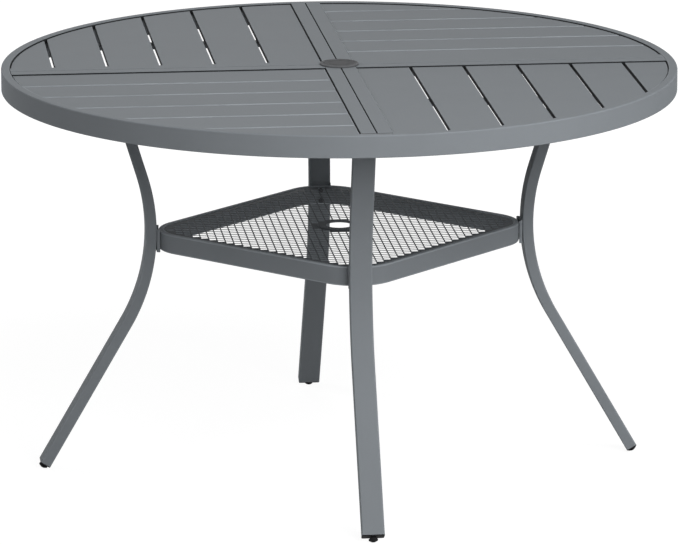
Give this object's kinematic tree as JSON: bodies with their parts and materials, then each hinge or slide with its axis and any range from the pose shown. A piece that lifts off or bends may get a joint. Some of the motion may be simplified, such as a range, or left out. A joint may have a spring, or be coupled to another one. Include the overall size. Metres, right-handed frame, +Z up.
{
  "type": "umbrella table",
  "caption": "Round slatted metal patio table with a central umbrella hole under a lift-out cap, bent tube legs on levelling glides and a punched mesh shelf.",
  "frame": {"origin": "on the floor under the centre of the round top", "axes": "+Z up, +Y away from the viewer, +X to the viewer's right; the legs stand on the X and Y axes"},
  "size_m": [1.2198, 1.22, 0.7434],
  "materials": {
    "grey_paint": "satin powder coat",
    "grey_plastic": "matte",
    "dark_plastic": "matte",
    "black_plastic": "matte",
    "black_steel": "black coated"
  },
  "bodies": {
    "table": {"rim_ring": "grey_paint", "arm_right_back": "grey_paint", "arm_right_front": "grey_paint", "arm_back_left": "grey_paint", "arm_back_right": "grey_paint", "arm_left_front": "grey_paint", "arm_left_back": "grey_paint", "arm_front_right": "grey_paint", "arm_front_left": "grey_paint", "slat_support_back_right": "grey_paint", "slat_back_right_1": "grey_paint", "slat_back_right_2": "grey_paint", "slat_back_right_3": "grey_paint", "slat_back_right_4": "grey_paint", "slat_back_right_5": "grey_paint", "slat_back_right_6": "grey_paint", "slat_support_back_left": "grey_paint", "slat_back_left_1": "grey_paint", "slat_back_left_2": "grey_paint", "slat_back_left_3": "grey_paint", "slat_back_left_4": "grey_paint", "slat_back_left_5": "grey_paint", "slat_back_left_6": "grey_paint", "slat_support_front_left": "grey_paint", "slat_front_left_1": "grey_paint", "slat_front_left_2": "grey_paint", "slat_front_left_3": "grey_paint", "slat_front_left_4": "grey_paint", "slat_front_left_5": "grey_paint", "slat_front_left_6": "grey_paint", "slat_support_front_right": "grey_paint", "slat_front_right_1": "grey_paint", "slat_front_right_2": "grey_paint", "slat_front_right_3": "grey_paint", "slat_front_right_4": "grey_paint", "slat_front_right_5": "grey_paint", "slat_front_right_6": "grey_paint", "umbrella_ring": "grey_plastic", "shelf_band": "grey_paint", "shelf_mesh": "grey_paint", "shelf_hole_ring": "grey_paint", "leg_right": "grey_paint", "leg_back": "grey_paint", "leg_left": "grey_paint", "leg_front": "grey_paint", "shelf_bracket_right": "grey_paint", "shelf_bracket_back": "grey_paint", "shelf_bracket_left": "grey_paint", "shelf_bracket_front": "grey_paint", "leg_top_plates": "grey_paint", "leg_end_caps": "black_plastic", "leg_bolts": "black_steel", "shelf_bolts": "black_steel", "shelf_spacers": "black_plastic"},
    "umbrella_cap": {"umbrella_cap": "dark_plastic"},
    "glide_right": {"glide_right": "black_plastic"},
    "glide_back": {"glide_back": "black_plastic"},
    "glide_left": {"glide_left": "black_plastic"},
    "glide_front": {"glide_front": "black_plastic"}
  },
  "joints": [
    {"name": "umbrella_cap_lift", "type": "slide", "parent": "table", "child": "umbrella_cap", "axis": [0, 0, 1], "range_m": [0, 0.15]},
    {"name": "glide_right_screw", "type": "slide", "parent": "table", "child": "glide_right", "axis": [0.5015, 0, -0.8652], "range_m": [0, 0.008]},
    {"name": "glide_back_screw", "type": "slide", "parent": "table", "child": "glide_back", "axis": [0, 0.5015, -0.8652], "range_m": [0, 0.008]},
    {"name": "glide_left_screw", "type": "slide", "parent": "table", "child": "glide_left", "axis": [-0.5015, 0, -0.8652], "range_m": [0, 0.008]},
    {"name": "glide_front_screw", "type": "slide", "parent": "table", "child": "glide_front", "axis": [0, -0.5015, -0.8652], "range_m": [0, 0.008]}
  ]
}
